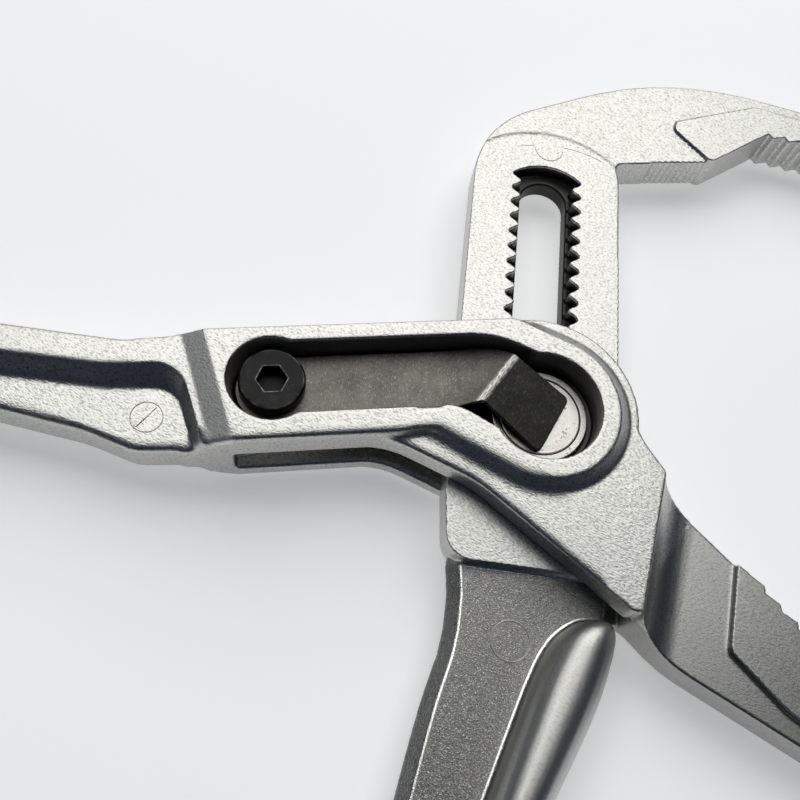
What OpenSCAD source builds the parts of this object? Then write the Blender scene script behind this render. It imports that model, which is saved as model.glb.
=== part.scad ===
// Water pump pliers with a push-button toothed pivot: one half carries the lower
// jaw and a boxed joint, the other half slides through the box on a toothed slot.
// Millimetres. The pivot axis is the origin, X runs along the body, Z points to the front.

/* [Joint body] */
// Thickness of the body from the back face to the front face
body_t = 15; // [14.6:0.1:16]
// Height of the cheek plate round the raised rib
plate_t = 13.3; // [12.8:0.1:13.8]
// Thickness of the back cheek
back_t = 2.8; // [2.6:0.1:2.9]
// Width of the box slot between the cheeks
box_w = 6; // [5.9:0.1:6.1]
// Radius of the cheek plate round the pivot
cheek_r = 15.3; // [15:0.1:16]
// Radius of the raised rib round the pivot, at its top
rib_r = 11.4; // [11:0.1:11.8]
// Width of the rib's sloped side, seen from the front
rib_run = 2; // [1.6:0.1:2.2]
// Height of the recess floor
floor_z = 9.8; // [9.7:0.1:9.9]
// Radius of the recess round the pivot
recess_r = 8.6; // [8.2:0.1:9]

/* [Sliding bar] */
// Width of the bar
bar_w = 26.6; // [26:0.1:27]
// Thickness of the bar
bar_t = 5.7; // [5.5:0.1:5.7]
// Lean of the slot from the body, in degrees
slot_angle = 77.4; // [76:0.1:78]
// Spacing of the slot teeth
pitch = 3.15; // [3.1:0.01:3.2]
// Half width of the slot between tooth tips
tip_half = 4.6; // [4.5:0.05:4.7]
// Depth of the slot teeth
tooth_h = 1.7; // [1.5:0.05:1.75]
// Depth of the toothed layer of the slot
tooth_layer = 2.45; // [2.4:0.05:2.6]
// Closing swing of the sliding half, in degrees
swing_close = 55; // [50:1:56]
// Opening swing of the sliding half, in degrees
swing_open = 2; // [1:1:3]

/* [Jaws] */
// Thickness of the toothed jaw pads
pad_t = 7.6; // [7:0.1:8]
// Lean of the lower jaw, in degrees
jaw_lean = -53; // [-54:0.5:-52]
// Spacing of the lower jaw teeth
lower_pitch = 3.3; // [3.2:0.05:3.4]
// Depth of the lower jaw teeth
lower_depth = 0.8; // [0.6:0.1:1]
// Spacing of the upper jaw teeth
upper_pitch = 3.1; // [3:0.05:3.2]
// Depth of the upper jaw teeth
upper_depth = 1.25; // [1:0.05:1.4]
// Spacing of the fine serrations in the throat
fine_pitch = 1.15; // [1:0.05:1.2]
// Depth of the fine serrations
fine_depth = 0.35; // [0.2:0.05:0.4]

/* [Handles] */
// Thickness of the handle flanges
flange_t = 12; // [11:0.5:12.5]
// Thickness of the handle webs
web_t = 7; // [6:0.5:8]
// Width of the flange left beside the outer handle's pocket
flange_w = 4.1; // [3.5:0.1:4.5]
// Half width of the steel under the grips
tang_half = 5.4; // [5:0.1:5.8]
// Half width of the grips
grip_half = 9.5; // [9:0.5:11]

/* [Pivot and spring] */
// Radius of the toothed pivot bolt
bolt_r = 6.35; // [6.25:0.05:6.35]
// Radius of the bolt's button shank
button_r = 4; // [3.8:0.05:4]
// Outer radius of the pivot bush
bush_r = 7.5; // [7.3:0.05:7.6]
// Thickness of the leaf spring
spring_t = 0.85; // [0.7:0.05:0.85]
// Width of the leaf spring
spring_w = 10.5; // [10:0.1:10.6]
// Radius of the screw head
head_r = 5; // [4.8:0.1:5.2]
// Height of the screw head
head_h = 2.7; // [2.6:0.1:3.4]
// Width across the flats of the screw's hex socket
socket_af = 4; // [3:0.5:5]
// Radius of the screw thread
thread_r = 3; // [2.5:0.1:3.1]

/* [Hidden] */
$fn = 96;
over = 1;                                 // overshoot of cuts
steel_colour = [0.80, 0.80, 0.78];
black_colour = [0.12, 0.12, 0.13];
grip_colour = [0.16, 0.17, 0.19];
mid_z = body_t / 2;
box_top = back_t + box_w;
rib_h = body_t - plate_t;
cheek_at = [-0.35, 0.15];
rib_corner = [-16.4, -2.6];               // where the rib leaves the body's lower edge
bar_half = bar_w / 2;
bar_z = back_t + (box_w - bar_t) / 2;
bar_top = bar_z + bar_t;
bar_mid = bar_z + bar_t / 2;
jaw_web_t = bar_t + 0.6;
swing_room = 1.2;                         // extra swing cut into the box, degrees
box_room = 0.35;                          // side room of the bar in the box
box_reach = 70;
fit_gap = 0.05;
strip_mid = 6.5;                          // middle line of the spring and its recess
screw_at = [-40.5, 7];
screw_recess_at = [-40.6, strip_mid];
screw_recess_low = 5.7;
screw_recess_top = 6.6;
spring_z = floor_z + 0.05;
head_z = spring_z + spring_t + 0.05;
bolt_top = head_z - 0.1;
bolt_teeth_z = bar_top - tooth_layer + 0.15;
ridge_angle = -43;                        // way the spring tab points
flange_z = mid_z - flange_t / 2;
web_z = mid_z - web_t / 2;
tooth_room = 0.15;
tooth_shift = 0.45;                       // the slot's first tooth gap from the pivot
top_slot = 15 * pitch + tooth_shift;      // where the slot teeth stop
slot_end_r = 9.2;
slot_end_at = 41;
slot_ledge = 2.1;                         // width of the ledge at the slot's end
arc_r = 19;                               // raised jaw edge above the slot
arc_at = 38.7;
bar_foot = -23.5;
pad_z = bar_mid - pad_t / 2;

function unit(v) = v / norm(v);
function dir(a) = [cos(a), sin(a)];
function turned(p, a) = [p[0] * cos(a) - p[1] * sin(a), p[0] * sin(a) + p[1] * cos(a)];
// A place given along the slot and to the right of it
function on_bar(along, right) = along * dir(slot_angle) + right * dir(slot_angle - 90);
// A place given along the lower jaw and up towards its teeth
function on_jaw(along, up) = turned([along, up], jaw_lean);
// Corners with a radius, placed by the jaw or by the bar
function jaw_corners(rows) = [for (c = rows) concat(on_jaw(c[0], c[1]), c[2])];
function bar_corners(rows) = [for (c = rows) concat(on_bar(c[0], c[1]), c[2])];

// Arc of radius r in the corner b between the points a and c
function corner(a, b, c, r, steps) =
    r == 0 ? [b] :
    let (u = unit(a - b), v = unit(c - b), half = acos(u * v) / 2,
         centre = b + unit(u + v) * r / sin(half),
         from = b + u * r / tan(half) - centre,
         to = b + v * r / tan(half) - centre,
         start = atan2(from[1], from[0]),
         sweep = (atan2(to[1], to[0]) - start + 540) % 360 - 180)
    [for (i = [0:steps]) centre + r * dir(start + sweep * i / steps)];

// Outline through corners given as [x, y, radius]
function rounded(corners, steps = 8) =
    let (n = len(corners), at = [for (c = corners) [c[0], c[1]]])
    [for (i = [0:n - 1])
        each corner(at[(i + n - 1) % n], at[i], at[(i + 1) % n], corners[i][2], steps)];

function reversed(row) = [for (i = [1:len(row)]) row[len(row) - i]];

function bez(p, t) = pow(1 - t, 3) * p[0] + 3 * t * pow(1 - t, 2) * p[1]
                     + 3 * t * t * (1 - t) * p[2] + t * t * t * p[3];
function bez_dir(p, t) = unit(pow(1 - t, 2) * (p[1] - p[0]) + 2 * t * (1 - t) * (p[2] - p[1])
                              + t * t * (p[3] - p[2]));
// Point beside a curve, offset to the right of its run
function beside(p, t, off) = bez(p, t) + off * turned(bez_dir(p, t), -90);
function ease(a, b, t) = let (s = min(1, max(0, t))) a + (b - a) * s * s * (3 - 2 * s);

// Solid through a row of closed rings of points. A long curved strip has end faces from side to side
module skin(rings, strip = false) {
    n = len(rings[0]);
    m = len(rings);
    ends = strip ? [for (i = [0:n / 2 - 2]) [i, i + 1, n - 2 - i, n - 1 - i]] : [[for (i = [0:n - 1]) i]];
    polyhedron(
        points = [for (r = rings) each r],
        faces = concat(
            [for (f = ends) reversed(f)],
            [for (f = ends) [for (i = f) (m - 1) * n + i]],
            [for (k = [0:m - 2]) for (i = [0:n - 1]) [k * n + i, k * n + (i + 1) % n, (k + 1) * n + i]],
            [for (k = [0:m - 2]) for (i = [0:n - 1])
                [k * n + (i + 1) % n, (k + 1) * n + (i + 1) % n, (k + 1) * n + i]]));
}

// Solid through level outlines, which run clockwise and have the same number of points
module loft(outlines, heights, strip = false) {
    skin([for (k = [0:len(heights) - 1]) [for (p = outlines[k]) [p[0], p[1], heights[k]]]], strip);
}

// Ring of a rounded bar across the way w, at the place c
ring_points = 24;
function ring(c, w, half_w, half_z, z, square = 1) =
    [for (i = [0:ring_points - 1])
        let (a = 360 * i / ring_points,
             x = half_w * sign(cos(a)) * pow(abs(cos(a)), square),
             h = half_z * sign(sin(a)) * pow(abs(sin(a)), square))
        [c[0] + w[0] * x, c[1] + w[1] * x, z + h]];

// Centre lines of the handles and the half widths along them
outer_line = [[-79, 11.7], [-110, 18.9], [-170, 24], [-226, 13]];
inner_line = [[-11.4, -40.5], [-26.8, -68.6], [-80, -156], [-112, -190]];
flange_line = [[3.2, -31], [-4.6, -43.4], [-25.5, -73], [-48, -105]];
outer_grip_start = 0.2;
inner_grip_start = 0.43;
outer_root_half = 6.1;
inner_root_half = 10.8;
function outer_half_w(t) = ease(outer_root_half, tang_half, t / outer_grip_start);
function inner_half_w(t) = ease(inner_root_half, tang_half, t / (inner_grip_start - 0.05));
line_steps = 24;

// Plan of the last stretch of a handle, from t0 to its rounded end
module tang_plan(line, t0, half) {
    left = [for (i = [0:line_steps]) beside(line, t0 + (1 - t0) * i / line_steps, -half)];
    right = [for (i = [0:line_steps]) beside(line, 1 - (1 - t0) * i / line_steps, half)];
    polygon(concat(left, right));
    translate(bez(line, 1)) circle(half);
}

// Plan shapes of the outer half
module plate_plan() {
    translate(cheek_at) circle(cheek_r);
    polygon(rounded([[-45, -2.8, 0], [-24.5, -3, 14], [-12, -10.7, 24], [4.6, -28.2, 0],
                     [8.3, -32.2, 1.2], [17.1, -11.2, 0.6], [14.7, -6.3, 14], [12, 6, 0],
                     [-1, 14, 0], [-45, 14, 0]]));
}

lower_teeth = 9;
lower_first = 40.9;
function lower_tip(along) = 6 + pow((along - 55) / 17.5, 2);
function lower_row() =
    [for (k = [0:lower_teeth]) let (at = lower_first + k * lower_pitch)
        each [[at, lower_tip(at), 0], [at + 0.7, lower_tip(at) - lower_depth, 0]]];

module lower_jaw_plan() {
    flat = 6.2;                           // height of the smooth throat
    polygon(rounded(jaw_corners(concat(
        [[14, 0, 0], [19.4, flat, 1.5], [36.3, flat, 0]],
        lower_row(),
        [[74, 6.6, 1.2], [74.6, 1, 3], [66, -5.2, 14], [38.5, -12.7, 25], [30.4, -12.5, 1.2], [24, -4, 0]]))));
}

module lower_pad_plan() {
    intersection() {
        lower_jaw_plan();
        polygon(rounded(jaw_corners([[34.4, 8.5, 0], [43, -4.9, 1.5], [54, -5.2, 12], [80, 0, 0],
                                     [80, 12, 0]])));
    }
}

// Room that the bar sweeps at its own level inside the box
module box_plan() {
    half = bar_half + box_room;
    open = slot_angle + swing_open + swing_room;
    shut = slot_angle - swing_close - swing_room;
    circle(half);
    polygon([half * dir(open + 90), half * dir(open + 90) + box_reach * dir(open),
             half * dir(shut - 90) + box_reach * dir(shut), half * dir(shut - 90)]);
    polygon([half * dir(shut + 90), half * dir(shut + 90) - box_reach * dir(shut),
             half * dir(open - 90) - box_reach * dir(open), half * dir(open - 90)]);
    polygon([[-46.5, -8], [-46.5, -1], [-40, 0], [-30, -8]]);   // blunt end under the screw
}

module recess_plan() {
    translate(screw_recess_at) circle(screw_recess_low);
    circle(recess_r);
    polygon(rounded([[-40, 0.9, 0], [-13.6, 0.9, 7], [-7, -4, 0], [0, 0, 0], [3, 7, 0],
                     [-6.3, 12.3, 16], [-40, 12.3, 0]]));
}

// Cut across the face that steps the cheek plate down to the jaw web
step_from = [16, -12.3];
step_lean = -22.5;
step_long = 120;
module jaw_step(r, depth) {
    translate([step_from[0], step_from[1], 0]) rotate(step_lean)
        translate([0, step_long / 2, 0]) rotate([90, 0, 0]) linear_extrude(step_long)
            difference() {
                square([step_long, depth]);
                difference() {
                    square(r);
                    translate([r, r]) circle(r);
                }
            }
}

// Wedge that ramps the body down to the handle
ramp_at = [-48.2, 6];
ramp_lean = 191.8;
ramp_run = 3.4;
module ramp_cut() {
    drop = body_t - (flange_z + flange_t);
    reach = 30;
    translate([ramp_at[0], ramp_at[1], 0]) rotate(ramp_lean) translate([0, reach, 0]) rotate([90, 0, 0])
        linear_extrude(2 * reach)
            polygon([[-ramp_run * over / drop, body_t + over], [ramp_run, body_t - drop],
                     [reach, body_t - drop], [reach, body_t + over]]);
}

module outer_handle_plan() {
    upper = [for (i = [0:line_steps]) let (t = i / line_steps) beside(outer_line, t, outer_half_w(t))];
    lower = [for (i = [0:line_steps]) let (t = 1 - i / line_steps) beside(outer_line, t, -outer_half_w(t))];
    polygon(concat(
        rounded([[-44, 8, 0], [-44, 14.9, 0], [-54, 14.7, 14], [-61.5, 14.4, 14],
                 [upper[0][0], upper[0][1], 0]]),
        upper, lower));
    polygon(rounded([[-44, -2.9, 0], [-44, 8, 0], [-79, 11.7, 0],
                     [lower[line_steps][0], lower[line_steps][1], 0],
                     [-67.5, 1.4, 22], [-60.4, -2.3, 6]]));
    translate(bez(outer_line, 1)) circle(tang_half);
}

// Pocket beside the outer handle's flange, floor outline and rim outline
module handle_pocket() {
    depth = flange_z + flange_t - web_z - web_t;
    rim_top = 17.6 - flange_w;
    floor_rows = rounded([[-118, 15.8, 0], [-79, rim_top - 2.9, 40], [-64.4, 7.8, 20], [-54.3, 7.2, 4.5],
                          [-50.7, -8, 0], [-118, -8, 0]]);
    rim_rows = rounded([[-118, 18.6, 0], [-79, rim_top, 40], [-64.6, 10.7, 20], [-53.7, 10.5, 5],
                        [-49.5, -8, 0], [-118, -8, 0]]);
    loft([floor_rows, rim_rows], [web_z + web_t, web_z + web_t + depth + 0.02]);
}

module about_middle() {
    translate([0, 0, mid_z]) mirror([0, 0, 1]) translate([0, 0, -mid_z]) children();
}

module outer_half() color(steel_colour) {
    difference() {
        union() {
            linear_extrude(plate_t) {
                plate_plan();
                lower_jaw_plan();
            }
            linear_extrude(body_t)
                polygon([[-54, -3], [-24.5, -3.1], rib_corner, [-9, 0], [-2.8, 14.9], [-54, 14.9]]);
            translate([0, 0, plate_t - over]) hull() {
                cylinder(h = rib_h + over, r1 = rib_r + rib_run * (1 + over / rib_h), r2 = rib_r);
                linear_extrude(rib_h + over) polygon([rib_corner, [-2.8, 14.9], [rib_corner[0], 14.9]]);
                linear_extrude(over)
                    polygon([rib_corner + [-2.1, -0.6], [-2.8, 14.9], [rib_corner[0], 14.9]]);
            }
            translate([0, 0, flange_z]) linear_extrude(flange_t) outer_handle_plan();
        }
        ramp_cut();
        about_middle() ramp_cut();
        handle_pocket();
        about_middle() handle_pocket();
        translate([0, 0, back_t]) linear_extrude(box_w) box_plan();
        translate([0, 0, floor_z]) linear_extrude(body_t) recess_plan();
        translate([screw_recess_at[0], screw_recess_at[1], floor_z])
            cylinder(h = body_t - floor_z + 0.02, r1 = screw_recess_low, r2 = screw_recess_top);
        cylinder(h = body_t, r = bush_r + fit_gap);
        translate([0, 0, pad_z + pad_t - 1]) jaw_step(7.5, body_t);
        about_middle() translate([0, 0, body_t - pad_z - 0.5]) jaw_step(2.5, body_t);
        translate([screw_at[0], screw_at[1], 2]) cylinder(h = body_t, r = thread_r + 0.03);
    }
    difference() {
        cylinder(h = back_t, r = bush_r + fit_gap + over);
        translate([0, 0, -over]) cylinder(h = body_t, r = button_r + fit_gap);
    }
    translate([0, 0, pad_z]) linear_extrude(pad_t) lower_pad_plan();
}

// Plan shapes of the sliding half
fine_count = 10;
fine_first = 31;
upper_teeth = 7;
upper_first = [56.2, 55.9];
upper_lean = -16.8;
function fine_row() =
    [for (k = [0:fine_count - 1]) let (x = fine_first + k * fine_pitch)
        each [[x, 49.5], [x + fine_pitch / 2, 49.5 + fine_depth]]];
function upper_row() =
    [for (k = [0:upper_teeth - 1]) let (v = upper_first + k * upper_pitch * dir(upper_lean))
        each [v, v + [0.5, -upper_depth]]];

// Bar and upper jaw in one outline, from the throat round the jaw and down to the foot
module bar_plan() {
    throat = on_bar(53.4, bar_half - 0.7);
    polygon(rounded(concat(
        [[throat[0], throat[1], 1.2]],
        [for (p = fine_row()) [p[0], p[1], 0]],
        [[43.2, 49.6, 0.8]],
        [for (p = upper_row()) [p[0], p[1], 0]],
        [[77.4, 49.6, 0], [77.8, 48.5, 0], [81.4, 48.5, 0.8], [82.2, 52, 2], [80, 56.6, 2.5],
         [38.6, 70.8, 58], [-0.4, 58.8, 19]],
        bar_corners([[-13, -bar_half, 10], [bar_foot, 1 - bar_half, 4], [bar_foot, bar_half, 3.5],
                      [49.4, bar_half, 5]])), 16));
}

// The jaw's raised face, outside an arc round the top of the slot
module upper_jaw_plan() {
    difference() {
        bar_plan();
        translate(on_bar(arc_at, 0)) circle(arc_r);
        polygon([on_bar(-30, -20), on_bar(arc_at, -20), on_bar(arc_at, 20), on_bar(-30, 20)]);
    }
}

module upper_pad_plan() {
    intersection() {
        upper_jaw_plan();
        polygon(rounded([[43.4, 48, 0], [37, 57, 1.2], [38, 58.9, 1.2], [55.3, 62.4, 2.5], [82, 52.4, 0],
                         [84, 46, 0]]));
    }
}

// Toothed layer of the slot, with the half width following a wave of one pitch
function wave(a) = tip_half + tooth_h / 2 + tooth_h / 2 * cos(360 * (a - tooth_shift) / pitch);
wave_steps = 8;
function wave_side(a0, a1, side, room) =
    let (n = ceil((a1 - a0) / pitch * wave_steps))
    [for (i = [0:n]) let (a = a0 + (a1 - a0) * i / n) on_bar(a, side * (wave(a) - room))];
module toothed_plan() {
    arc_half = asin(wave(top_slot) / slot_end_r);
    arc_steps = 8;
    polygon(concat(
        wave_side(0, top_slot, 1, 0),
        [for (i = [1:arc_steps - 1]) let (a = arc_half - 2 * arc_half * i / arc_steps)
            on_bar(slot_end_at + slot_end_r * cos(a), slot_end_r * sin(a))],
        reversed(wave_side(0, top_slot, -1, 0))));
    circle(bolt_r + 0.2);
}
module smooth_plan() {
    half = button_r + 0.2;
    stop = slot_end_at + slot_end_r - slot_ledge - half;
    circle(half);
    translate(on_bar(stop, 0)) circle(half);
    polygon([on_bar(0, -half), on_bar(stop, -half), on_bar(stop, half), on_bar(0, half)]);
}

// Web of the inner handle, with its left edge drawn in by inset and as many points on each side
inner_web_stop = inner_grip_start + 0.03;
function inner_web(inset) = concat(
    [on_bar(-16, 12.2), on_bar(-20, 12.2), on_bar(-24, 12.1), on_bar(-28, 12.1), on_bar(-31, 11)],
    [for (i = [0:line_steps]) bez(flange_line, 0.12 + 0.88 * i / line_steps)],
    [for (i = [0:line_steps]) let (t = inner_web_stop * (1 - i / line_steps))
        beside(inner_line, t, inner_half_w(t) - inset)],
    [on_bar(-36.6, -12 + inset), on_bar(-33, -11.5 + inset), on_bar(-28, -11.4 + inset),
     on_bar(-24, -11.9 + inset), on_bar(-16, -11 + inset)]);
inner_web_low = 3.2;
inner_web_mid = 5;
inner_web_top = 7;
inner_flange_z = 7;
inner_flange_half = 5.6;

// Rounded flange of the inner handle with a blunt end near the joint
flange_dome = 5;
flange_blunt = 2.8;                       // power of the end's curve, where 2 is an ellipse
flange_end_half = 4.3;
flange_root_half = 5;
flange_tip_half = 2.5;
flange_grow_run = 12;
flange_skew = 28;                         // turn of the end's face, in degrees
flange_skew_run = 9;
flange_rows = 20;
function flange_ring(k) =
    let (s = k / flange_rows, t = 0.004 + 0.996 * s * s * (1.6 - 0.6 * s),
         run = norm(bez(flange_line, t) - flange_line[0]),
         grow = run < flange_dome ? pow(1 - pow(1 - run / flange_dome, flange_blunt), 1 / flange_blunt) : 1,
         half = ease(flange_end_half, flange_root_half, run / flange_grow_run)
                - ease(0, flange_root_half - flange_tip_half, (t - 0.15) / 0.6),
         across = turned(bez_dir(flange_line, t), ease(flange_skew, 0, run / flange_skew_run) - 90))
    ring(bez(flange_line, t), across, half * grow, inner_flange_half * grow, inner_flange_z);

module inner_half() color(steel_colour) difference() {
    union() {
        translate([0, 0, bar_z]) linear_extrude(bar_t) bar_plan();
        translate([0, 0, bar_mid - jaw_web_t / 2]) linear_extrude(jaw_web_t) upper_jaw_plan();
        translate([0, 0, pad_z]) linear_extrude(pad_t) upper_pad_plan();
        loft([inner_web(1.5), inner_web(0), inner_web(2)], [inner_web_low, inner_web_mid, inner_web_top],
             strip = true);
        skin([for (k = [0:flange_rows]) flange_ring(k)]);
        translate([0, 0, flange_z + 0.5]) linear_extrude(flange_t - 1)
            tang_plan(inner_line, inner_grip_start + 0.01, tang_half);
    }
    translate([0, 0, bar_top - tooth_layer]) linear_extrude(body_t) toothed_plan();
    linear_extrude(body_t) smooth_plan();
}

module pivot_bolt() color(steel_colour) {
    cylinder(h = bolt_teeth_z, r = button_r);
    translate([0, 0, bolt_teeth_z]) linear_extrude(box_top - bolt_teeth_z) intersection() {
        circle(bolt_r);
        polygon(concat(wave_side(-2 * pitch, 2 * pitch, 1, tooth_room),
                       reversed(wave_side(-2 * pitch, 2 * pitch, -1, tooth_room))));
    }
    translate([0, 0, box_top]) cylinder(h = bolt_top - box_top, r = bolt_r);
}

module pivot_bush() color(steel_colour) difference() {
    translate([0, 0, box_top + 0.05]) cylinder(h = bolt_top - box_top - 0.1, r = bush_r);
    cylinder(h = body_t, r = bolt_r + 0.1);
}

// Spring strip: plan outline cut from a bent profile that runs along its ridge
spring_rise = 2.8;
spring_bend_at = -18.5;
spring_bend_steps = 8;
spring_ridge_at = -8.6;
spring_end_at = 2.7;
spring_tab_drop = 1.85;
module spring_plan() {
    half = spring_w / 2;
    low = strip_mid - half;
    high = strip_mid + half;
    translate(screw_recess_at) circle(half + 0.1);
    polygon(rounded([[screw_recess_at[0], low, 0], [-16, low, 0], [-9.2, low + 0.6, 1], [-1.5, -6.4, 1],
                     [4.8, 2, 1], [-5.7, high, 8], [screw_recess_at[0], high, 0]]));
}
module leaf_spring() color(black_colour) difference() {
    flat = spring_z;
    top = flat + spring_rise;
    last = top - spring_tab_drop;
    long = 120;
    rise = [for (i = [0:spring_bend_steps]) let (s = i / spring_bend_steps)
        [spring_bend_at + (spring_ridge_at - spring_bend_at) * s, flat + spring_rise * s * s]];
    intersection() {
        translate([0, 0, floor_z]) linear_extrude(body_t) spring_plan();
        rotate(ridge_angle) translate([0, long / 2, 0]) rotate([90, 0, 0]) linear_extrude(long)
            polygon(concat(
                [[-long, flat]], rise,
                [[spring_end_at, last], [spring_end_at + 9, last - 1.4],
                 [spring_end_at + 9, last - 1.4 + spring_t], [spring_end_at, last + spring_t]],
                [for (p = reversed(rise)) p + [0, spring_t]], [[-long, flat + spring_t]]));
    }
    translate([screw_at[0], screw_at[1], 0]) cylinder(h = body_t, r = thread_r + 0.25);
}

module spring_screw() color(black_colour) translate([screw_at[0], screw_at[1], 0]) difference() {
    chamfer = 0.35;
    rotate_extrude() polygon([[0, 2.3], [thread_r - 0.4, 2.3], [thread_r, 2.7], [thread_r, head_z],
        [head_r, head_z], [head_r, head_z + head_h - chamfer], [head_r - chamfer, head_z + head_h],
        [0, head_z + head_h]]);
    translate([0, 0, head_z + head_h - 2.4])
        cylinder(h = head_h, r = socket_af / sqrt(3), $fn = 6);
}

// Slip-on grips: a rounded sleeve along the handle with the steel's room inside
grip_end_cap = 5;
grip_rows = 30;
module grip(line, t0) {
    long = norm(bez(line, 1) - bez(line, t0));
    rings = [for (k = [0:grip_rows])
        let (t = t0 + (1 - t0) * k / grip_rows, run = (t - t0) * long / (1 - t0),
             grow = ease(0.82, 1, run / 9))
        ring(bez(line, t), turned(bez_dir(line, t), -90), grip_half * grow, mid_z * ease(0.93, 1, run / 9),
             mid_z, 0.7)];
    tip = bez(line, 1);
    way = bez_dir(line, 1);
    caps = [for (k = [1:6]) let (a = 15 * k - 1)
        ring(tip + (tang_half + grip_end_cap) * sin(a) * way, turned(way, -90), grip_half * (0.3 + 0.7 * cos(a)),
             mid_z * (0.3 + 0.7 * cos(a)), mid_z, 0.7)];
    skin(concat(rings, caps));
}
grip_room = 0.12;

module outer_grip() color(grip_colour) difference() {
    grip(outer_line, outer_grip_start);
    translate([0, 0, flange_z - grip_room]) linear_extrude(flange_t + 2 * grip_room)
        tang_plan(outer_line, outer_grip_start - 0.02, tang_half + grip_room);
}

module inner_grip() color(grip_colour) difference() {
    grip(inner_line, inner_grip_start);
    translate([0, 0, flange_z - grip_room]) linear_extrude(flange_t + 2 * grip_room)
        tang_plan(inner_line, inner_grip_start - 0.02, tang_half + grip_room);
}

outer_half();
inner_half();
pivot_bolt();
pivot_bush();
leaf_spring();
spring_screw();
outer_grip();
inner_grip();
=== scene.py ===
import math

import bmesh
import bpy
from mathutils import Matrix, Vector


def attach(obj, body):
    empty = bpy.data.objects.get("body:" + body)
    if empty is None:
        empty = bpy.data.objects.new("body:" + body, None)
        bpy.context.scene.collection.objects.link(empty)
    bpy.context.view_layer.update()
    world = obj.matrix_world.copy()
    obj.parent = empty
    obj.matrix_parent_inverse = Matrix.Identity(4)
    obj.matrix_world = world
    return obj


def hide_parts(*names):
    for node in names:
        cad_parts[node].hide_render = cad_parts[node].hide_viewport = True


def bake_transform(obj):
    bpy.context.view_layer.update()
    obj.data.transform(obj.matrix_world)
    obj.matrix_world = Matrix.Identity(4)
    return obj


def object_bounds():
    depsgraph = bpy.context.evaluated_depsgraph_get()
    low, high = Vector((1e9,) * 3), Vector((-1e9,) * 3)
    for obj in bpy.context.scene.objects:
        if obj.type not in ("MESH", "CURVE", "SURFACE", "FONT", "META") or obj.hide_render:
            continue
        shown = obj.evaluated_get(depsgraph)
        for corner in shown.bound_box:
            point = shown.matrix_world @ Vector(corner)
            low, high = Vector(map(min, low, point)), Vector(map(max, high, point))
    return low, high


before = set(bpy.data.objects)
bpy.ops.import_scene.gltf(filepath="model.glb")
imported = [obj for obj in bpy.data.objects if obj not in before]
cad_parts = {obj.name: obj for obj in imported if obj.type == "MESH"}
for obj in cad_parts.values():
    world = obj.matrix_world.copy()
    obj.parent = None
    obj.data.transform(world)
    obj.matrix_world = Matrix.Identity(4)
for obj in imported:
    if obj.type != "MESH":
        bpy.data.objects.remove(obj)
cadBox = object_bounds()
mm = 0.001
mergeGap = 0.002 * mm  # points closer than this are one
flatTurn = math.radians(0.3)  # faces that turn less than this are one
print("frame loaded,", len(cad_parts), "nodes")


class Wire:  # a shader socket that can be used in sums
    def __init__(self, tree, socket):
        self.tree = tree
        self.socket = socket

    def make(self, kind, settings=None, inputs=None, out=0):
        made = self.tree.nodes.new("ShaderNode" + kind)
        for key, value in (settings or {}).items():
            setattr(made, key, value)
        for key, value in (inputs or {}).items():
            if isinstance(value, Wire):
                self.tree.links.new(value.socket, made.inputs[key])
            else:
                made.inputs[key].default_value = value
        return Wire(self.tree, made.outputs[out])

    def math(self, operation, first, second):
        return self.make("Math", {"operation": operation}, {0: first, 1: second})

    def __add__(self, other):
        return self.math("ADD", self, other)

    def __radd__(self, other):
        return self.math("ADD", other, self)

    def __sub__(self, other):
        return self.math("SUBTRACT", self, other)

    def __rsub__(self, other):
        return self.math("SUBTRACT", other, self)

    def __mul__(self, other):
        return self.math("MULTIPLY", self, other)

    def __rmul__(self, other):
        return self.math("MULTIPLY", other, self)

    def size(self):  # without its sign
        return self.math("ABSOLUTE", self, 0.0)

    def root(self):
        return self.math("SQRT", self, 0.0)

    def larger(self, other):
        return self.math("MAXIMUM", self, other)

    def step(self, low, high):  # 0 below low, 1 above high, smooth between
        return self.make("MapRange", {"interpolation_type": "SMOOTHSTEP"},
                         {"Value": self, "From Min": low, "From Max": high})

    def above(self, low, fade):
        return self.step(low, low + fade)

    def below(self, high, fade):
        return 1 - self.step(high, high + fade)

    def between(self, low, high, fade):  # 1 from low to high, falling to 0 on both sides
        return self.step(low - fade, low) * self.below(high, fade)

    def lerp(self, low, high):  # self is the share of the second value
        return low + self * (high - low)

    def noise(self, size, detail, rough):
        return self.make("TexNoise", None, {"Vector": self, "Scale": 1 / size, "Detail": detail,
                                            "Roughness": rough})

    def stretch(self, turn, longer):  # turned in the plane and drawn out along its own axes
        return self.make("Mapping", {"vector_type": "TEXTURE"},
                         {"Vector": self, "Rotation": (0, 0, turn), "Scale": longer})

    def parts(self):
        return [self.make("SeparateXYZ", None, {0: self}, axis) for axis in range(3)]

    def tinted(self, shade):  # self is a colour
        return self.make("VectorMath", {"operation": "SCALE"}, {0: self, "Scale": shade})

    def blendColour(self, low, high):  # self is the share of the second colour
        return self.make("Mix", {"data_type": "RGBA"}, {0: self, 6: low, 7: high}, 2)

    def bump(self, depth):
        return self.make("Bump", None, {"Strength": 1.0, "Distance": depth, "Height": self})


def newFinish(name, constants):
    finish = bpy.data.materials.new(name)
    finish.use_nodes = True
    shader = finish.node_tree.nodes["Principled BSDF"]
    for key, value in constants.items():
        shader.inputs[key].default_value = value
    coords = finish.node_tree.nodes.new("ShaderNodeTexCoord")
    return finish, shader, Wire(finish.node_tree, coords.outputs["Object"])


def plug(shader, **links):
    names = {"colour": "Base Color", "rough": "Roughness", "metal": "Metallic", "normal": "Normal",
             "glow": "Emission Color"}
    for key, wire in links.items():
        wire.tree.links.new(wire.socket, shader.inputs[names[key]])


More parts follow.
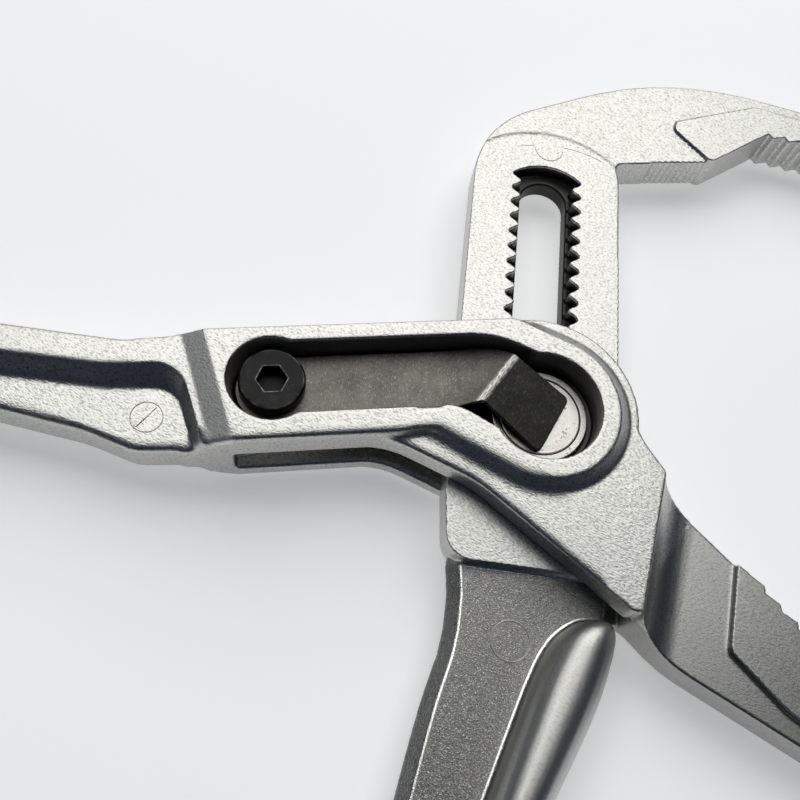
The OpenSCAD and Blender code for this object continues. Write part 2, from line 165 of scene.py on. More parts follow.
# Plated forging: satin nickel over a blasted surface
plating = {
    "pale": (0.61, 0.61, 0.585, 1), "dull": (0.53, 0.53, 0.512, 1), "stain": (0.13, 0.095, 0.065, 1),
    "pitShade": 0.38, "pitLow": 0.33, "pitHigh": 0.52, "glintLow": 0.60, "glintHigh": 0.70,
    "roughLow": 0.29, "roughHigh": 0.40, "peelSize": 0.21 * mm, "gritSize": 0.12 * mm, "cloudSize": 9 * mm,
    "peelTurn": math.radians(52), "peelStretch": (1, 2.3, 1), "depth": 0.030 * mm,
}
# Zones of the two halves: depth of the grain, share of fine grit and of dark pits in it, how pale the
# metal is painted (in some zones a painted shade or a painted highlight), how much rougher, how far
# stained brown by old grease, how bright its painted glints are
plainZone = {"depth": 1.0, "fine": 0.25, "pits": 1.0, "tint": 1.0, "rough": 0.0, "stain": 0.0, "glint": 0.0}
groundZone = dict(plainZone, depth=0.5, fine=0.4, pits=0.5, tint=0.70, rough=0.02)
# the ramp from the handle to the body is painted paler than the plain plating: a painted highlight
rampZone = dict(plainZone, depth=0.7, pits=0.4, tint=1.25, rough=0.12)
# the recess walls are painted darker as painted shade, and stained brown by old grease
wallZone = dict(plainZone, depth=0.6, fine=0.4, pits=0.5, tint=0.60, rough=0.05, stain=0.5)
# the recess floor and the bar's slot are painted nearly black: painted shade
hollowShadeZone = dict(plainZone, depth=0.4, fine=0.4, pits=0.3, tint=0.07, rough=0.05)
# the web is painted darker as painted shade, and its grit carries painted glints
webZone = dict(plainZone, depth=3.2, fine=0.8, pits=0.9, tint=0.46, rough=-0.12, glint=0.7)
# the thin lines at the web's top edge and its fillet to the flange are painted pale: painted highlights
highlightLineZone = dict(plainZone, depth=1.2, fine=0.8, pits=0.0, tint=1.3, rough=-0.20)
flangeZone = dict(plainZone, depth=0.25, pits=0.1, tint=0.92, rough=0.06)


def platedFinish(name, zones):  # zones gives pairs of a share and its look
    finish, shader, place = newFinish(name, {})
    cloud = place.noise(plating["cloudSize"], 3.0, 0.6)
    laid = place.stretch(plating["peelTurn"], plating["peelStretch"])
    peel = laid.noise(plating["peelSize"], 2.0, 0.45)
    grit = place.noise(plating["gritSize"], 1.0, 0.6)
    look = dict(plainZone)
    for share, zone in zones(place):
        look = {key: share.lerp(look[key], zone[key]) for key in look}
    tone = (0.55 * peel.step(0.30, 0.52) + 0.45 * cloud).step(0.2, 0.8)
    pit = 1 - look["fine"].lerp(peel, grit).step(plating["pitLow"], plating["pitHigh"])
    # painted glints: pale specks added to the colour where the grit is high, strongest on the web
    glint = look["glint"] * grit.step(plating["glintLow"], plating["glintHigh"])
    shade = look["tint"] * (1 - plating["pitShade"] * look["pits"] * pit) + glint
    clean = tone.blendColour(plating["dull"], plating["pale"]).tinted(shade)
    rough = plating["roughLow"] + (plating["roughHigh"] - plating["roughLow"]) * cloud + look["rough"]
    height = look["fine"].lerp(peel.step(0.25, 0.75), grit) * look["depth"]
    plug(shader, colour=look["stain"].blendColour(clean, plating["stain"]), rough=rough,
         metal=1 - look["stain"], normal=height.bump(plating["depth"]))
    return finish


def mergedNode(name):  # a node's mesh with its points joined
    bm = bmesh.new()
    bm.from_mesh(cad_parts[name].data)
    bmesh.ops.remove_doubles(bm, verts=bm.verts, dist=mergeGap)
    return bm


def nodeCopy(name):  # a node's mesh as clean flat faces
    bm = mergedNode(name)
    bmesh.ops.dissolve_limit(bm, angle_limit=flatTurn, verts=bm.verts, edges=bm.edges)
    return bm


def reach(face, edge):  # how far a face runs from one of its edges
    foot = edge.verts[0].co
    way = (edge.verts[1].co - foot).normalized()
    return max((v.co - foot - way * (v.co - foot).dot(way)).length for v in face.verts)


def markEdges(bm, widest, allowed, leastTurn=32, share=0.4):  # bevel weights of the sharp edges
    weight = bm.edges.layers.float.new("bevel_weight_edge")
    for edge in bm.edges:
        edge.smooth = True
        if len(edge.link_faces) != 2:
            continue
        turn = math.degrees(edge.calc_face_angle_signed(0))
        if abs(turn) < leastTurn:
            continue
        room = min(reach(face, edge) for face in edge.link_faces)
        width = min(allowed(turn, edge), share * room)
        edge[weight] = width / widest
        edge.smooth = width > 0


def finishPiece(bm, name, body, finish, replaced=(), rounding=None, segments=3):
    for face in bm.faces:
        face.smooth = True
    mesh = bpy.data.meshes.new(name)
    bm.to_mesh(mesh)
    bm.free()
    for extra in ("custom_normal", "sharp_face"):
        if extra in mesh.attributes:
            mesh.attributes.remove(mesh.attributes[extra])
    mesh.materials.append(finish)
    piece = bpy.data.objects.new(name, mesh)
    bpy.context.scene.collection.objects.link(piece)
    if rounding:
        bevel = piece.modifiers.new("rounded edges", "BEVEL")
        bevel.limit_method = "WEIGHT"
        bevel.width = rounding
        bevel.segments = segments
        bevel.profile = 0.5
        bevel.material = -1
        bevel.use_clamp_overlap = False
        bevel.loop_slide = False
        bevel.harden_normals = True
    if body:
        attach(piece, body)
    if replaced:
        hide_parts(*replaced)
    return piece


# The two forged halves are remeshed in even cells, smoothed and thinned out again
forgeLook = {"cell": 0.24 * mm, "triangles": 150000, "levelWeight": 100}


def evenSkin(node, cell):  # a node's mesh as small even cells
    bm = mergedNode(node)
    mesh = bpy.data.meshes.new(node + "_skin")
    bm.to_mesh(mesh)
    bm.free()
    rough = bpy.data.objects.new(node + "_skin", mesh)
    bpy.context.scene.collection.objects.link(rough)
    cells = rough.modifiers.new("cells", "REMESH")
    cells.mode = "VOXEL"
    cells.voxel_size = cell
    even = bpy.data.meshes.new_from_object(rough.evaluated_get(bpy.context.evaluated_depsgraph_get()))
    bpy.data.objects.remove(rough)
    bm = bmesh.new()
    bm.from_mesh(even)
    bpy.data.meshes.remove(even)
    return bm


def soften(bm, passes):  # passes says how often the skin is smoothed at a place
    rounds = [(v, passes(v.co)) for v in bm.verts]
    for i in range(max(n for v, n in rounds)):
        bmesh.ops.smooth_vert(bm, verts=[v for v, n in rounds if n > i], factor=0.5, use_axis_x=True,
                              use_axis_y=True, use_axis_z=True)


def makeForging(node, name, passes, finish):
    bm = evenSkin(node, forgeLook["cell"])
    soften(bm, passes)
    faces = len(bm.faces)
    piece = finishPiece(bm, name, node, finish, [node])
    thin = piece.modifiers.new("fewer flat cells", "DECIMATE")
    thin.ratio = min(1, forgeLook["triangles"] / (2 * faces))
    thin.use_collapse_triangulate = True
    level = piece.modifiers.new("level normals", "WEIGHTED_NORMAL")
    level.weight = forgeLook["levelWeight"]


# Lower half: the box, the lower jaw and the upper handle. First the places of its finishes, then how often
# its edges are smoothed and where
outerLook = {
    "jawLean": math.radians(-53), "groundFrom": 27.5 * mm, "groundBelow": 10.2 * mm,
    "rampAt": (-48.2 * mm, 6 * mm), "rampLean": math.radians(191.8), "rampFrom": 0.3 * mm,
    "rampTo": 3.2 * mm, "rampAbove": 13.1 * mm,
    "eyeRadius": 8.75 * mm, "stripX": (-47.6 * mm, -1 * mm), "stripY": (-0.3 * mm, 13.3 * mm),
    "recessZ": (9.5 * mm, 14.3 * mm), "recessFloor": 10.0 * mm,
    "groundFade": 1.0 * mm, "softFade": 0.4 * mm, "recessFade": 0.35 * mm, "fade": 0.3 * mm,
    "crispFade": 0.25 * mm,
    "crisp": 2, "soft": 14, "underside": 30, "handle": 45, "tooth": 1,
    "teethFrom": 30 * mm, "shankBefore": -60 * mm, "topFrom": 10 * mm,
    "handleBefore": -49 * mm, "handleLow": -0.3 * mm, "handleBend": -62 * mm, "handleSlope": 0.45,
    "bodyBefore": -17 * mm, "bodyLow": -1.2 * mm,
    "plateFrom": -20 * mm, "plateTo": 4 * mm, "plateLow": -12.5 * mm, "plateSlope": 0.85,
}


def outerZones(place):
    look = outerLook
    x, y, z = place.parts()
    onJaw = x * math.cos(look["jawLean"]) + y * math.sin(look["jawLean"])
    ground = (onJaw.above(look["groundFrom"], look["groundFade"])
              * z.below(look["groundBelow"], look["softFade"]))
    # where the ramp is painted paler, a painted highlight
    down = ((x - look["rampAt"][0]) * math.cos(look["rampLean"])
            + (y - look["rampAt"][1]) * math.sin(look["rampLean"]))
    onRamp = (down.between(look["rampFrom"], look["rampTo"], look["fade"])
              * z.above(look["rampAbove"], look["crispFade"]))
    inEye = (x * x + y * y).root().below(look["eyeRadius"], look["crispFade"])
    inStrip = x.between(*look["stripX"], look["fade"]) * y.between(*look["stripY"], look["fade"])
    # the recess walls get painted shade and a real brown stain
    inRecess = inEye.larger(inStrip) * z.between(*look["recessZ"], look["recessFade"])
    # the recess floor below this height is painted nearly black as painted shade
    shadedRecessFloor = inRecess * z.below(look["recessFloor"], look["softFade"])
    return [(ground, groundZone), (onRamp, rampZone), (inRecess, wallZone), (shadedRecessFloor, hollowShadeZone)]


def outerPasses(co):
    onJaw = co.x * math.cos(outerLook["jawLean"]) + co.y * math.sin(outerLook["jawLean"])
    if onJaw > outerLook["teethFrom"]:
        return outerLook["tooth"]
    handleEdge = outerLook["handleLow"] - outerLook["handleSlope"] * (co.x - outerLook["handleBend"])
    if co.x < outerLook["handleBefore"] and co.y < max(outerLook["handleLow"], handleEdge):
        return outerLook["handle"]
    underBody = co.x < outerLook["bodyBefore"] and co.y < outerLook["bodyLow"]
    plateEdge = outerLook["plateLow"] - outerLook["plateSlope"] * co.x
    underPlate = outerLook["plateFrom"] < co.x < outerLook["plateTo"] and co.y < plateEdge
    if underBody or underPlate:
        return outerLook["underside"] if co.z > outerLook["topFrom"] else outerLook["soft"]
    return outerLook["soft"] if co.x < outerLook["shankBefore"] else outerLook["crisp"]


# Upper half: the slotted bar, the upper jaw and the lower handle, with the same two groups of values
innerLook = {
    "slotAngle": math.radians(77.4), "slotFrom": -8 * mm, "slotTo": 50.6 * mm, "slotHalf": 7.0 * mm,
    "slotZ": (3.3 * mm, 8.2 * mm), "webBelow": -23.6 * mm, "edgeZ": (6.82 * mm, 6.97 * mm),
    "filletZ": (7.04 * mm, 7.14 * mm), "flangeAbove": 7.2 * mm,
    "softFade": 0.4 * mm, "fade": 0.3 * mm, "slotFade": 0.2 * mm, "webFade": 0.2 * mm, "sheenLineFade": 0.015 * mm,
    "bar": 5, "web": 8, "tooth": 1, "slotX": 20 * mm, "slotY": 49 * mm, "teethX": 28 * mm,
}


def innerZones(place):
    look = innerLook
    x, y, z = place.parts()
    along = x * math.cos(look["slotAngle"]) + y * math.sin(look["slotAngle"])
    across = x * math.sin(look["slotAngle"]) - y * math.cos(look["slotAngle"])
    # the web is painted darker as painted shade
    onWeb = along.below(look["webBelow"] - look["webFade"], look["webFade"])
    # pale lines at the web's top edge and at its fillet to the flange: painted highlights
    wearAndSheen = z.between(*look["edgeZ"], look["sheenLineFade"]) + z.between(*look["filletZ"], look["sheenLineFade"])
    onFlange = onWeb * z.above(look["flangeAbove"], look["softFade"])
    # the walls of the bar's slot are painted nearly black as painted shade
    inSlot = (along.between(look["slotFrom"], look["slotTo"], look["fade"])
              * across.size().below(look["slotHalf"], look["softFade"])
              * z.between(*look["slotZ"], look["slotFade"]))
    return [(onWeb, webZone), (onWeb * wearAndSheen, highlightLineZone), (onFlange, flangeZone), (inSlot, hollowShadeZone)]


def innerPasses(co):
    along = co.x * math.cos(innerLook["slotAngle"]) + co.y * math.sin(innerLook["slotAngle"])
    if along < innerLook["webBelow"]:
        return innerLook["web"]
    inSlot = co.x < innerLook["slotX"] and co.y < innerLook["slotY"]
    onTeeth = co.x > innerLook["teethX"]
    return innerLook["tooth"] if inSlot or onTeeth else innerLook["bar"]


outerPlating = platedFinish("outer_plating", outerZones)
innerPlating = platedFinish("inner_plating", innerZones)
makeForging("outer_half", "outer_half_forging", outerPasses, outerPlating)
makeForging("inner_half", "inner_half_forging", innerPasses, innerPlating)
print("both halves made")

# Leaf spring: dark tempered strip with fine pale scratches, flat at the screw, bent over the bolt; its tab is
# painted darker as painted shade, and pale streaks on the ridge are wear and partly a painted highlight
springLook = {
    "dark": (0.082, 0.082, 0.077, 1), "warm": (0.195, 0.190, 0.168, 1), "scratch": (0.42, 0.41, 0.37, 1),
    "speckSize": 0.16 * mm, "cloudSize": 5 * mm, "scratchWide": 0.07 * mm, "scratchLong": 12,
    "scratchTurns": (math.radians(18), math.radians(-35)), "depth": 0.008 * mm,
    "ridge": -8.4 * mm, "ridgeCore": 0.15 * mm, "ridgeWide": 0.85 * mm, "wearAndSheen": (0.62, 0.61, 0.58, 1),
    "streakSize": 0.12 * mm, "streakLong": 6, "tabPaintedShade": 0.22, "tabFade": 0.5 * mm,
    "ridgeAngle": math.radians(47), "bendRound": 0.65 * mm, "bendShare": 0.25, "edgeRound": 0.14 * mm,
    "leastBend": 18, "mostBend": 50, "alongRidge": 0.995, "segments": 4,
    "cuts": 8, "cutFrom": -30 * mm, "cutTo": -19.5 * mm,
    "fixedEnd": (-35 * mm, 6.6 * mm, 10 * mm), "freeEnd": (-9 * mm, 3.5 * mm, 10 * mm),
}


def springFinish():
    finish, shader, place = newFinish("tempered_spring_steel", {"Metallic": 0.9})
    cloud = place.noise(springLook["cloudSize"], 4.0, 0.65)
    speck = place.noise(springLook["speckSize"], 2.0, 0.6)
    scratch = 0.0
    for turn in springLook["scratchTurns"]:
        drawn = place.stretch(turn, (1, springLook["scratchLong"], 1))
        scratch = scratch + drawn.noise(springLook["scratchWide"], 0.0, 0.5).step(0.68, 0.80)
    x, y = place.parts()[:2]
    toTab = x * math.sin(springLook["ridgeAngle"]) - y * math.cos(springLook["ridgeAngle"])
    onTab = toTab.above(springLook["ridge"], springLook["tabFade"])
    # pale streaks along the ridge: wear, and partly a painted highlight of the bend
    ridge = 1 - (toTab - springLook["ridge"]).size().step(springLook["ridgeCore"], springLook["ridgeWide"])
    drawn = place.stretch(springLook["ridgeAngle"], (springLook["streakLong"], 1, 1))
    streaks = drawn.noise(springLook["streakSize"], 1.0, 0.5).step(0.30, 0.66)
    warm = (0.55 * cloud + 0.45 * speck).step(0.32, 0.70)
    temper = warm.blendColour(springLook["dark"], springLook["warm"])
    # the tab beyond the ridge is painted darker: painted shade
    base = temper.tinted(onTab.lerp(1, springLook["tabPaintedShade"]))
    scratched = (onTab.lerp(0.6, 0.15) * scratch).blendColour(base, springLook["scratch"])
    plug(shader, colour=(ridge * streaks).blendColour(scratched, springLook["wearAndSheen"]),
         rough=0.34 + 0.2 * speck - 0.08 * scratch - 0.06 * ridge,
         normal=(speck + 0.5 * scratch).bump(springLook["depth"]))
    return finish


def springRound(turn, edge):
    way = (edge.verts[1].co - edge.verts[0].co).normalized()
    ridge = Vector((math.cos(springLook["ridgeAngle"]), math.sin(springLook["ridgeAngle"]), 0))
    if abs(way.dot(ridge)) > springLook["alongRidge"] and abs(turn) < springLook["mostBend"]:
        return springLook["bendRound"]
    return springLook["edgeRound"] if turn > 0 else 0.0


def makeSpring():
    bm = nodeCopy("leaf_spring")
    markEdges(bm, springLook["bendRound"], springRound, springLook["leastBend"], springLook["bendShare"])
    along = Vector((math.sin(springLook["ridgeAngle"]), -math.cos(springLook["ridgeAngle"]), 0))
    step = (springLook["cutTo"] - springLook["cutFrom"]) / (springLook["cuts"] - 1)
    for i in range(springLook["cuts"]):  # cuts across the strip, so that it can bend
        bmesh.ops.bisect_plane(bm, geom=bm.verts[:] + bm.edges[:] + bm.faces[:],
                               plane_co=along * (springLook["cutFrom"] + step * i), plane_no=along)
    piece = finishPiece(bm, "leaf_spring_strip", None, springFinish(), ["leaf_spring"],
                        springLook["bendRound"], springLook["segments"])
    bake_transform(piece)


# Black oxide screw, worn a little grey where tools touch it, its socket rubbed bright and its rim ring pale
# from rubbing and partly a painted highlight of the chamfer
screwLook = {
    "black": (0.010, 0.010, 0.011, 1), "wearAndSheen": (0.032, 0.032, 0.032, 1), "bright": (0.20, 0.195, 0.18, 1),
    "speckSize": 0.22 * mm, "cloudSize": 2.5 * mm, "depth": 0.012 * mm, "edge": 0.16 * mm,
    "at": (-40.5 * mm, 7 * mm), "top": 13.2 * mm, "rim": 4.62 * mm, "socket": 2.0 * mm, "line": 0.16 * mm,
    "fade": 0.08 * mm, "topFade": 0.1 * mm, "flatTurns": (math.radians(30), math.radians(-30)),
}


def oxideFinish():
    finish, shader, place = newFinish("black_oxide", {"Metallic": 0.75})
    cloud = place.noise(screwLook["cloudSize"], 3.0, 0.6)
    speck = place.noise(screwLook["speckSize"], 3.0, 0.6)
    wearAndSheen = (0.5 * cloud + 0.5 * speck).step(0.45, 0.75)
    x, y, z = place.parts()
    dx = x - screwLook["at"][0]
    dy = y - screwLook["at"][1]
    radius = (dx * dx + dy * dy).root()
    toFlat = dy.size()
    for turn in screwLook["flatTurns"]:  # the socket's other two pairs of flats
        toFlat = (dx * math.cos(turn) + dy * math.sin(turn)).size().larger(toFlat)
    # the rim ring is rubbed wear and partly a painted highlight of the chamfer
    onRim = radius.between(screwLook["rim"], screwLook["rim"] + screwLook["line"], screwLook["fade"])
    onSocket = toFlat.between(screwLook["socket"], screwLook["socket"] + screwLook["line"], screwLook["fade"])
    rubbedAndSheen = (onRim + onSocket) * z.above(screwLook["top"], screwLook["topFade"]) * cloud.step(0.38, 0.62)
    black = wearAndSheen.blendColour(screwLook["black"], screwLook["wearAndSheen"])
    plug(shader, colour=rubbedAndSheen.blendColour(black, screwLook["bright"]), rough=0.34 + 0.2 * speck,
         normal=speck.bump(screwLook["depth"]))
    return finish


# Bolt and bush: turned bare steel with lathe rings and a few rust specks
boltLook = {
    "pale": (0.66, 0.65, 0.62, 1), "dull": (0.40, 0.39, 0.37, 1), "rust": (0.16, 0.085, 0.04, 1),
    "ringSize": 0.22 * mm, "speckSize": 0.5 * mm, "cloudSize": 2.2 * mm, "grainSize": 0.13 * mm,
    "depth": 0.014 * mm, "boltEdge": 0.22 * mm, "bushEdge": 0.18 * mm,
}


def turnedFinish():
    finish, shader, place = newFinish("turned_steel", {"Metallic": 1.0})
    flat = place.make("VectorMath", {"operation": "MULTIPLY"}, {0: place, 1: (1, 1, 0)})
    turns = flat.make("VectorMath", {"operation": "LENGTH"}, {0: flat}, 1) * (1 / boltLook["ringSize"])
    rings = turns.make("TexNoise", {"noise_dimensions": "1D"}, {"W": turns, "Detail": 1.0})
    cloud = place.noise(boltLook["cloudSize"], 3.0, 0.6)
    speck = place.noise(boltLook["speckSize"], 4.0, 0.65)
    grain = place.noise(boltLook["grainSize"], 2.0, 0.5)
    rust = (0.65 * speck + 0.35 * cloud).step(0.54, 0.66)
    clear = (0.3 * rings + 0.3 * cloud + 0.4 * grain).step(0.34, 0.58)
    base = clear.blendColour(boltLook["dull"], boltLook["pale"])
    plug(shader, colour=(0.7 * rust).blendColour(base, boltLook["rust"]),
         rough=0.28 + 0.14 * cloud + 0.3 * rust,
         normal=(0.5 * rings + speck + grain).bump(boltLook["depth"]))
    return finish


def makeSmall(node, name, body, finish, width):  # keeps its shape and gets broken edges
    bm = nodeCopy(node)
    markEdges(bm, width, lambda turn, edge: width if turn > 0 else 0.0)
    finishPiece(bm, name, body, finish, [node], width)


bareSteel = turnedFinish()
makeSpring()
makeSmall("spring_screw", "spring_screw_head", "outer_half", oxideFinish(), screwLook["edge"])
makeSmall("pivot_bolt", "pivot_bolt_turned", "pivot_bolt", bareSteel, boltLook["boltEdge"])
makeSmall("pivot_bush", "pivot_bush_ring", "pivot_bush", bareSteel, boltLook["bushEdge"])
print("spring, screw, bolt and bush made")

# Grip sleeves of matte, finely textured rubber, swept along the handles, whose lines are in mm
gripLook = {
    "base": (0.020, 0.022, 0.027, 1), "wearAndSheen": (0.045, 0.048, 0.055, 1),
    "grainSize": 0.45 * mm, "cloudSize": 14 * mm, "depth": 0.05 * mm,
    "outerLine": [(-79, 11.7), (-110, 18.9), (-170, 24), (-226, 13)], "outerStart": 0.2,
    "innerLine": [(-11.4, -40.5), (-26.8, -68.6), (-80, -156), (-112, -190)], "innerStart": 0.43,
    "halfWide": 9.5 * mm, "halfThick": 7.5 * mm, "midZ": 7.5 * mm, "square": 0.7, "points": 40, "rows": 110,
    "boreWide": 5.75 * mm, "boreThick": 6.3 * mm, "boreSquare": 0.16, "boreEvery": 10, "boreTip": 0.7,
    "tang": 5.4 * mm, "cap": 5 * mm, "capRows": 12, "capStep": math.radians(7.3), "capTip": 0.25,
    "flare": 9 * mm, "frontWide": 0.82, "frontThick": 0.93, "lip": 1.0 * mm, "lipDeep": 0.06,
    "ribs": 12, "ribPitch": 5 * mm, "ribFrom": 22 * mm, "ribDeep": 0.075, "ribThick": 0.6, "sharpTurn": 50,
}


def sleeveFinish():
    finish, shader, place = newFinish("grip_rubber", {"Metallic": 0.0})
    grain = place.noise(gripLook["grainSize"], 2.0, 0.55)
    cloud = place.noise(gripLook["cloudSize"], 3.0, 0.6)
    wearAndSheen = (0.6 * cloud + 0.4 * grain).step(0.45, 0.75)
    plug(shader, colour=wearAndSheen.blendColour(gripLook["base"], gripLook["wearAndSheen"]), rough=0.55 + 0.25 * grain,
         normal=grain.bump(gripLook["depth"]))
    return finish


def bezier(line, t):
    shares = ((1 - t) ** 3, 3 * t * (1 - t) ** 2, 3 * t * t * (1 - t), t ** 3)
    return sum((Vector(p) * s for p, s in zip(line, shares)), Vector((0, 0))) * mm


def bezierWay(line, t):
    return (bezier(line, t + 0.001) - bezier(line, t - 0.001)).normalized()


def ease(low, high, t):
    s = min(1, max(0, t))
    return low + (high - low) * s * s * (3 - 2 * s)


def squareRing(bm, square):  # unit ring with flattened sides
    made = bmesh.ops.create_circle(bm, segments=gripLook["points"], radius=1, cap_ends=False)
    for v in made["verts"]:
        v.co.x = math.copysign(abs(v.co.x) ** square, v.co.x)
        v.co.y = math.copysign(abs(v.co.y) ** square, v.co.y)
    return list({e for v in made["verts"] for e in v.link_edges})


def station(centre, way, halfWide, halfThick):  # where a ring of the sweep goes
    across = Vector((way.y, -way.x, 0))
    rows = zip(across * halfWide, Vector((0, 0, halfThick)), (way.x, way.y, 0),
               (centre.x, centre.y, gripLook["midZ"]))
    return Matrix([list(row) for row in rows] + [[0, 0, 0, 1]])


def sweep(bm, ring, stations):  # returns the open first ring
    start = ring
    bmesh.ops.transform(bm, matrix=stations[0], verts=list({v for e in ring for v in e.verts}))
    for before, after in zip(stations, stations[1:]):
        made = bmesh.ops.extrude_edge_only(bm, edges=ring)["geom"]
        verts = [v for v in made if isinstance(v, bmesh.types.BMVert)]
        fresh = set(verts)
        ring = [e for e in made if isinstance(e, bmesh.types.BMEdge) and set(e.verts) <= fresh]
        bmesh.ops.transform(bm, matrix=after @ before.inverted(), verts=verts)
    bmesh.ops.contextual_create(bm, geom=ring)
    return start


def ribDip(run):  # shallow grooves between the ribs
    place = (run - gripLook["ribFrom"]) / gripLook["ribPitch"]
    if not 0 < place < gripLook["ribs"]:
        return 1.0
    return 1 - gripLook["ribDeep"] * max(0, math.cos(2 * math.pi * (place - 0.5))) ** 3


def makeGrip(node, name, body, line, start):
    length = (bezier(line, 1) - bezier(line, start)).length
    outside = []
    bore = []
    for i in range(gripLook["rows"] + 1):
        share = i / gripLook["rows"]
        t = start + (1 - start) * share
        run = share * length
        flared = run / gripLook["flare"]
        front = 1 - gripLook["lipDeep"] * max(0, 1 - run / gripLook["lip"]) ** 2
        ribbed = 1 - gripLook["ribThick"] + gripLook["ribThick"] * ribDip(run)
        wide = gripLook["halfWide"] * ease(gripLook["frontWide"], 1, flared) * front * ribDip(run)
        thick = gripLook["halfThick"] * ease(gripLook["frontThick"], 1, flared) * front * ribbed
        centre, way = bezier(line, t), bezierWay(line, t)
        outside.append(station(centre, way, wide, thick))
        if i % gripLook["boreEvery"] == 0:
            bore.append(station(centre, way, gripLook["boreWide"], gripLook["boreThick"]))
    tip, way = bezier(line, 1), bezierWay(line, 1)
    bore.append(station(tip + way * gripLook["tang"], way, gripLook["boreWide"] * gripLook["boreTip"],
                        gripLook["boreThick"]))
    for k in range(1, gripLook["capRows"] + 1):  # rounded end
        turn = gripLook["capStep"] * k
        shrink = gripLook["capTip"] + (1 - gripLook["capTip"]) * math.cos(turn)
        outside.append(station(tip + way * (gripLook["tang"] + gripLook["cap"]) * math.sin(turn), way,
                               gripLook["halfWide"] * shrink, gripLook["halfThick"] * shrink))
    bm = bmesh.new()
    rim = sweep(bm, squareRing(bm, gripLook["square"]), outside)
    mouth = sweep(bm, squareRing(bm, gripLook["boreSquare"]), bore)
    bmesh.ops.bridge_loops(bm, edges=rim + mouth)
    bmesh.ops.recalc_face_normals(bm, faces=bm.faces)
    markEdges(bm, gripLook["lip"], lambda turn, edge: 0.0, gripLook["sharpTurn"])
    finishPiece(bm, name, body, gripRubber, [node])


gripRubber = sleeveFinish()
makeGrip("outer_grip", "outer_grip_sleeve", "outer_half", gripLook["outerLine"], gripLook["outerStart"])
makeGrip("inner_grip", "inner_grip_sleeve", "inner_half", gripLook["innerLine"], gripLook["innerStart"])
print("grips made")

# Small cast marks: thin raised arcs on the webs and the bar, one with a slash, in mm and degrees
markLook = {
    "handle_round_mark": {"body": "outer_half", "at": (-58.6, 2.9, 11.0), "radius": 2.33, "from": 0,
                          "turn": 360, "line": 0.09, "slash": 45},
    "web_round_mark": {"body": "inner_half", "at": (-9.2, -32.6, 7.0), "radius": 2.85, "from": 0,
                       "turn": 360, "line": 0.11, "slash": None},
    "bar_half_mark": {"body": "inner_half", "at": (11.9, 52.9, 8.65), "radius": 2.5, "from": 167,
                      "turn": 180, "line": 0.08, "slash": None},
    "bar_left_arc": {"body": "inner_half", "at": (8.4, 37.8, 8.65), "radius": 16.1, "from": 87,
                     "turn": 12, "line": 0.05, "slash": None},
    "bar_right_arc": {"body": "inner_half", "at": (11.5, 38, 8.65), "radius": 15.6, "from": 51,
                      "turn": 27, "line": 0.05, "slash": None},
}
markRound = {"sides": 8, "steps": 40, "slashLong": 1.7, "mergeGap": 0.001 * mm}


def makeMark(name, look):
    bm = bmesh.new()
    thick = look["line"] * mm
    centre = Vector(look["at"]) * mm
    first = math.radians(look["from"])
    out = Vector((math.cos(first), math.sin(first), 0))
    stand = Matrix.Rotation(first, 4, "Z") @ Matrix.Rotation(math.pi / 2, 4, "X")
    made = bmesh.ops.create_circle(bm, segments=markRound["sides"], radius=thick, cap_ends=look["turn"] < 360)
    bmesh.ops.transform(bm, matrix=Matrix.Translation(centre + out * look["radius"] * mm) @ stand,
                        verts=made["verts"])
    bmesh.ops.spin(bm, geom=bm.verts[:] + bm.edges[:] + bm.faces[:], cent=centre, axis=(0, 0, 1),
                   angle=math.radians(look["turn"]), steps=markRound["steps"], use_merge=look["turn"] == 360)
    if look["slash"] is not None:
        lie = Matrix.Rotation(math.radians(look["slash"]), 4, "Z") @ Matrix.Rotation(math.pi / 2, 4, "Y")
        bmesh.ops.create_cone(bm, segments=markRound["sides"], radius1=thick, radius2=thick,
                              depth=look["radius"] * markRound["slashLong"] * mm,
                              cap_ends=True, matrix=Matrix.Translation(centre) @ lie)
    bmesh.ops.remove_doubles(bm, verts=bm.verts, dist=markRound["mergeGap"])
    bmesh.ops.recalc_face_normals(bm, faces=bm.faces)
    finishPiece(bm, name, look["body"], outerPlating)


for markName, markValues in markLook.items():
    makeMark(markName, markValues)
print("marks made")

# Studio: pale floor, a soft lamp above and beyond the tool, a small one at its left, a dim room
studio = {"floorSize": 5.0, "floorColour": (0.92, 0.93, 0.95, 1), "floorRough": 0.7, "floorGlow": 0.36,
          "floorDrop": 0.3 * mm, "roomColour": (0.018, 0.024, 0.040, 1)}
lamps = {
    "main lamp": {"from": (0.16, 0.60, 0.78), "far": 1.1, "size": 1.3, "glare": 1.85,
                  "colour": (1.0, 0.99, 0.965)},
    "left lamp": {"from": (-0.43, 0.36, 0.82), "far": 1.2, "size": 0.26, "glare": 3.0,
                  "colour": (1.0, 0.99, 0.97)},
}


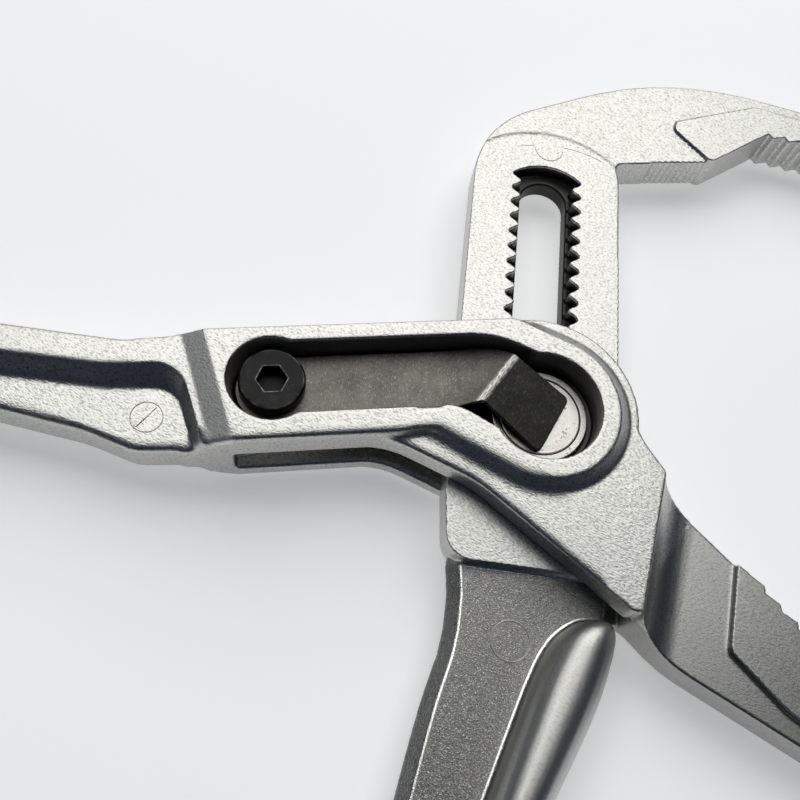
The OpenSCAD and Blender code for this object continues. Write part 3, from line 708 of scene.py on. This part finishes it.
def floorFinish():  # glows a little where it is seen, straight or in the metal
    constants = {"Base Color": studio["floorColour"], "Roughness": studio["floorRough"]}
    finish, shader = newFinish("pale_floor", constants)[:2]
    path = finish.node_tree.nodes.new("ShaderNodeLightPath")
    camera, glossy, transmission = (Wire(finish.node_tree, path.outputs["Is " + ray + " Ray"])
                                    for ray in ("Camera", "Glossy", "Transmission"))
    shader.inputs["Emission Strength"].default_value = 1.0
    glow = studio["floorGlow"]
    seen = camera + glossy + transmission
    plug(shader, glow=seen.blendColour((0, 0, 0, 1), (glow, glow, glow, 1)))
    return finish


def makeLamp(name, look):
    light = bpy.data.lights.new(name, "AREA")
    light.size = look["size"]
    light.energy = look["glare"] * math.pi * look["size"] ** 2
    light.color = look["colour"]
    lamp = bpy.data.objects.new(name, light)
    bpy.context.scene.collection.objects.link(lamp)
    way = Vector(look["from"]).normalized()
    lamp.location = way * look["far"]
    lamp.rotation_euler = way.to_track_quat("Z", "Y").to_euler()


def makeStudio():
    bm = bmesh.new()
    bmesh.ops.create_grid(bm, x_segments=2, y_segments=2, size=studio["floorSize"] / 2)
    bmesh.ops.translate(bm, verts=bm.verts, vec=(0, 0, cadBox[0].z - studio["floorDrop"]))
    mesh = bpy.data.meshes.new("floor")
    bm.to_mesh(mesh)
    bm.free()
    mesh.materials.append(floorFinish())
    floor = bpy.data.objects.new("floor", mesh)
    bpy.context.scene.collection.objects.link(floor)
    room = bpy.data.worlds.new("room")
    room.use_nodes = True
    room.node_tree.nodes["Background"].inputs["Color"].default_value = studio["roomColour"]
    bpy.context.scene.world = room
    for name, look in lamps.items():
        makeLamp(name, look)


# Camera as fitted to the photograph
lens = {"focal": 39.09, "sensor": 36, "near": 0.002, "place": (-0.04292, -0.04821, 0.12980),
        "right": (0.98544, -0.10985, 0.12981), "up": (0.04816, 0.91236, 0.40655),
        "forward": (0.16309, 0.39438, -0.90436)}


def makeCamera():
    data = bpy.data.cameras.new("camera")
    data.lens = lens["focal"]
    data.sensor_width = lens["sensor"]
    data.clip_start = lens["near"]
    eye = bpy.data.objects.new("camera", data)
    bpy.context.scene.collection.objects.link(eye)
    back = -Vector(lens["forward"])
    columns = (Vector(lens["right"]), Vector(lens["up"]), back, Vector(lens["place"]))
    eye.matrix_world = Matrix([[c[i] for c in columns] for i in range(3)] + [[0, 0, 0, 1]])
    bpy.context.scene.camera = eye


makeStudio()
makeCamera()
bpy.context.scene.view_settings.view_transform = "Standard"
print("studio and camera made")
